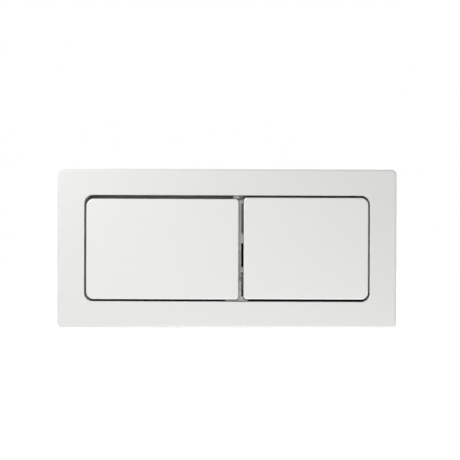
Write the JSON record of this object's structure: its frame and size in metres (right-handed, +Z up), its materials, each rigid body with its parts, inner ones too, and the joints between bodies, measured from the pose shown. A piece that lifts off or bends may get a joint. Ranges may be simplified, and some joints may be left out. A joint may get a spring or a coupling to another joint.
{
  "type": "flush button plate",
  "caption": "Rectangular flush plate for a concealed cistern: white frame round a wide and a narrow hinged push button, with sprung push rods and distance bolts behind.",
  "frame": {"origin": "centre of the plate on the wall plane, which is the rear rim of the cover", "axes": "+X to the right as seen from the room, +Y into the wall, +Z up"},
  "size_m": [0.24, 0.0903, 0.1124],
  "materials": {
    "white_face": "satin white",
    "white_inner": "matte white",
    "dark_base": "matte dark grey",
    "grey_moulded": "matte grey",
    "rod_plastic": "natural light grey",
    "cap_plastic": "matte blue grey",
    "plated_steel": "zinc plated",
    "spring_steel": "drawn wire",
    "pad_rubber": "matte black"
  },
  "bodies": {
    "plate": {"cover_plate": "white_face", "button_carrier": "white_inner", "full_hinge_pin": "plated_steel", "half_hinge_pin": "plated_steel", "mounting_base": "dark_base", "distance_bolts": "grey_moulded", "bolt_washers": "plated_steel", "bolt_nuts": "grey_moulded", "full_stop_pads": "pad_rubber", "half_stop_pads": "pad_rubber", "full_return_spring": "spring_steel", "half_return_spring": "spring_steel"},
    "full_button": {"full_flush_button": "white_face"},
    "half_button": {"half_flush_button": "white_face"},
    "full_rod": {"full_push_rod": "rod_plastic", "full_rod_cap": "cap_plastic", "full_rod_locknut": "cap_plastic"},
    "half_rod": {"half_push_rod": "rod_plastic", "half_rod_cap": "cap_plastic", "half_rod_locknut": "cap_plastic"}
  },
  "joints": [
    {"name": "full_button_hinge", "type": "hinge", "parent": "plate", "child": "full_button", "pos_m": [0, -0.0065, 0.0305], "axis": [1, 0, 0], "range_deg": [0, 8], "stiffness_Nm_per_rad": 1.2, "springref_deg": -6.88},
    {"name": "half_button_hinge", "type": "hinge", "parent": "plate", "child": "half_button", "pos_m": [0, -0.0065, 0.0305], "axis": [1, 0, 0], "range_deg": [0, 8], "stiffness_Nm_per_rad": 1.2, "springref_deg": -6.88},
    {"name": "full_rod_slide", "type": "slide", "parent": "plate", "child": "full_rod", "axis": [0, 1, 0], "range_m": [0, 0.006], "deforming": ["full_return_spring"]},
    {"name": "half_rod_slide", "type": "slide", "parent": "plate", "child": "half_rod", "axis": [0, 1, 0], "range_m": [0, 0.006], "deforming": ["half_return_spring"]}
  ],
  "couplings": [
    {"joint": "full_rod_slide", "follows": "full_button_hinge", "m_per_rad": 0.0425},
    {"joint": "half_rod_slide", "follows": "half_button_hinge", "m_per_rad": 0.0425}
  ]
}
